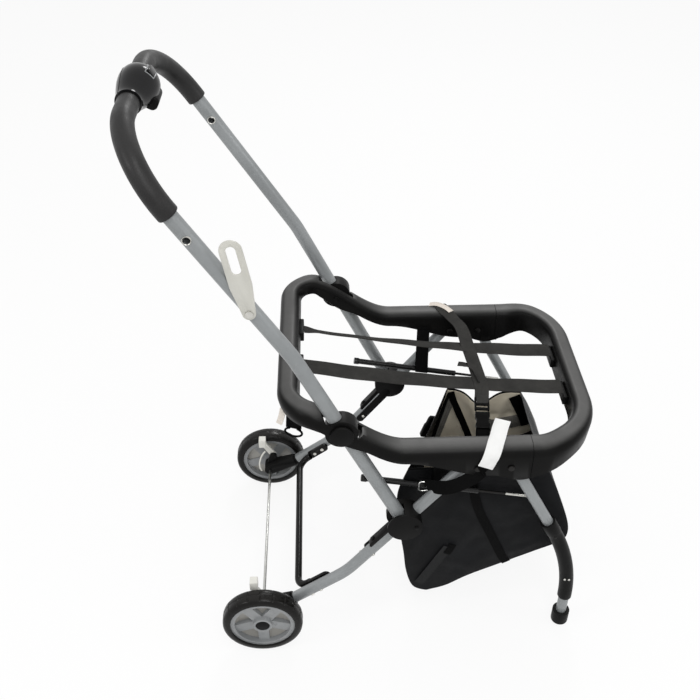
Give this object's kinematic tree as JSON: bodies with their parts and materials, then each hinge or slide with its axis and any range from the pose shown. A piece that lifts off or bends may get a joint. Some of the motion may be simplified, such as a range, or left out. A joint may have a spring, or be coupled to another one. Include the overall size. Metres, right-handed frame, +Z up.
{
  "type": "folding car seat stroller frame",
  "caption": "Folding wheeled frame for an infant car seat: padded-strap seat ring, bow handle with squeeze release, rear wheels, basket and bare front posts.",
  "frame": {"origin": "on the floor, under the middle of the overall length and width", "axes": "+X forward, +Y to the left of a person pushing it, +Z up"},
  "size_m": [0.766, 0.477, 1.0724],
  "materials": {
    "ring_plastic": "fine-textured charcoal moulding",
    "black_plastic": "satin black moulding",
    "steel": "plated steel",
    "webbing": "woven dark grey webbing",
    "cloth": "woven black cloth",
    "chrome": "bright chrome",
    "rod_coating": "smooth black sleeve",
    "grey_tube": "satin silver-grey paint",
    "foam": "closed-cell foam",
    "gloss_black": "polished black moulding",
    "pale_plastic": "pale warm grey moulding",
    "black_paint": "gloss black paint",
    "tyre": "moulded black tyre",
    "rim_plastic": "silver-grey moulding"
  },
  "bodies": {
    "seat_ring": {"ring_rear": "ring_plastic", "ring_front": "ring_plastic", "handle_pins": "black_plastic", "leg_pins": "steel", "front_pins": "steel", "pivot_bushes": "black_plastic", "seat_strap_left": "webbing", "seat_strap_right": "webbing", "strap_clips": "black_plastic", "safety_strap": "webbing", "buckle_socket": "black_plastic", "buckle_tongue": "black_plastic", "basket": "cloth", "basket_rods": "chrome", "rod_sleeves": "rod_coating", "rod_hangers": "webbing", "strap_hook": "steel", "rear_tether": "webbing"},
    "handle": {"handle_tube_left": "grey_tube", "handle_tube_right": "grey_tube", "handle_bow": "grey_tube", "handle_collars": "black_plastic", "grip_left": "foam", "grip_right": "foam", "release_housing": "gloss_black", "tube_plugs": "black_plastic", "latch_rivet": "steel"},
    "fold_trigger": {"fold_trigger": "black_plastic"},
    "thumb_slide": {"thumb_slide": "gloss_black"},
    "latch_plate": {"latch_plate": "pale_plastic"},
    "lock_plunger_left": {"lock_plunger_left": "steel"},
    "lock_plunger_right": {"lock_plunger_right": "steel"},
    "rear_frame": {"rear_leg_left": "grey_tube", "rear_leg_right": "grey_tube", "hub_left": "black_plastic", "hub_right": "black_plastic", "cross_tube": "black_paint", "frame_rivets": "steel", "wheel_bracket_left": "black_plastic", "wheel_bracket_right": "black_plastic", "axle": "chrome"},
    "brake_lever_left": {"brake_lever_left": "pale_plastic"},
    "brake_lever_right": {"brake_lever_right": "pale_plastic"},
    "wheel_left": {"tyre_left": "tyre", "rim_left": "rim_plastic", "hub_cap_left": "gloss_black"},
    "wheel_right": {"tyre_right": "tyre", "rim_right": "rim_plastic", "hub_cap_right": "gloss_black"},
    "front_leg_left": {"front_tube_left": "grey_tube", "front_sleeve_left": "black_plastic", "front_post_left": "grey_tube", "front_foot_left": "black_plastic"},
    "front_leg_right": {"front_tube_right": "grey_tube", "front_sleeve_right": "black_plastic", "front_post_right": "grey_tube", "front_foot_right": "black_plastic"}
  },
  "joints": [
    {"name": "handle_fold", "type": "hinge", "parent": "seat_ring", "child": "handle", "pos_m": [-0.06992, 0, 0.54173], "axis": [0, 1, 0], "range_deg": [0, 110]},
    {"name": "rear_leg_fold", "type": "hinge", "parent": "seat_ring", "child": "rear_frame", "pos_m": [0.15608, 0, 0.461], "axis": [0, 1, 0], "range_deg": [0, 40]},
    {"name": "front_leg_left_fold", "type": "hinge", "parent": "seat_ring", "child": "front_leg_left", "pos_m": [0.21208, 0.1855, 0.461], "axis": [0, 1, 0], "range_deg": [0, 76]},
    {"name": "front_leg_right_fold", "type": "hinge", "parent": "seat_ring", "child": "front_leg_right", "pos_m": [0.21208, -0.1855, 0.461], "axis": [0, 1, 0], "range_deg": [0, 76]},
    {"name": "wheel_left_spin", "type": "hinge", "parent": "rear_frame", "child": "wheel_left", "pos_m": [-0.22292, 0.222, 0.076], "axis": [0, 1, 0], "continuous": true},
    {"name": "wheel_right_spin", "type": "hinge", "parent": "rear_frame", "child": "wheel_right", "pos_m": [-0.22292, -0.222, 0.076], "axis": [0, 1, 0], "continuous": true},
    {"name": "brake_left_tread", "type": "hinge", "parent": "rear_frame", "child": "brake_lever_left", "pos_m": [-0.21492, 0.1975, 0.106], "axis": [0, 1, 0], "range_deg": [-20, 0]},
    {"name": "brake_right_tread", "type": "hinge", "parent": "rear_frame", "child": "brake_lever_right", "pos_m": [-0.21492, -0.1975, 0.106], "axis": [0, 1, 0], "range_deg": [-20, 0]},
    {"name": "trigger_squeeze", "type": "slide", "parent": "handle", "child": "fold_trigger", "axis": [-0.9763, 0, 0.2164], "range_m": [0, 0.006], "stiffness_N_per_m": 800, "springref_m": -0.004},
    {"name": "thumb_slide_move", "type": "slide", "parent": "handle", "child": "thumb_slide", "axis": [0, 1, 0], "range_m": [0, 0.008]},
    {"name": "latch_swing", "type": "hinge", "parent": "handle", "child": "latch_plate", "pos_m": [-0.20189, -0.21405, 0.78364], "axis": [0, 1, 0], "range_deg": [-22, 15]},
    {"name": "plunger_left_lift", "type": "slide", "parent": "handle", "child": "lock_plunger_left", "axis": [-0.4384, 0, 0.8988], "range_m": [0, 0.006]},
    {"name": "plunger_right_lift", "type": "slide", "parent": "handle", "child": "lock_plunger_right", "axis": [-0.4384, 0, 0.8988], "range_m": [0, 0.006]}
  ],
  "couplings": [
    {"joint": "rear_leg_fold", "follows": "handle_fold", "ratio": 0.36364},
    {"joint": "front_leg_left_fold", "follows": "handle_fold", "ratio": 0.69091},
    {"joint": "front_leg_right_fold", "follows": "handle_fold", "ratio": 0.69091},
    {"joint": "plunger_left_lift", "follows": "trigger_squeeze", "ratio": 1},
    {"joint": "plunger_right_lift", "follows": "trigger_squeeze", "ratio": 1}
  ]
}
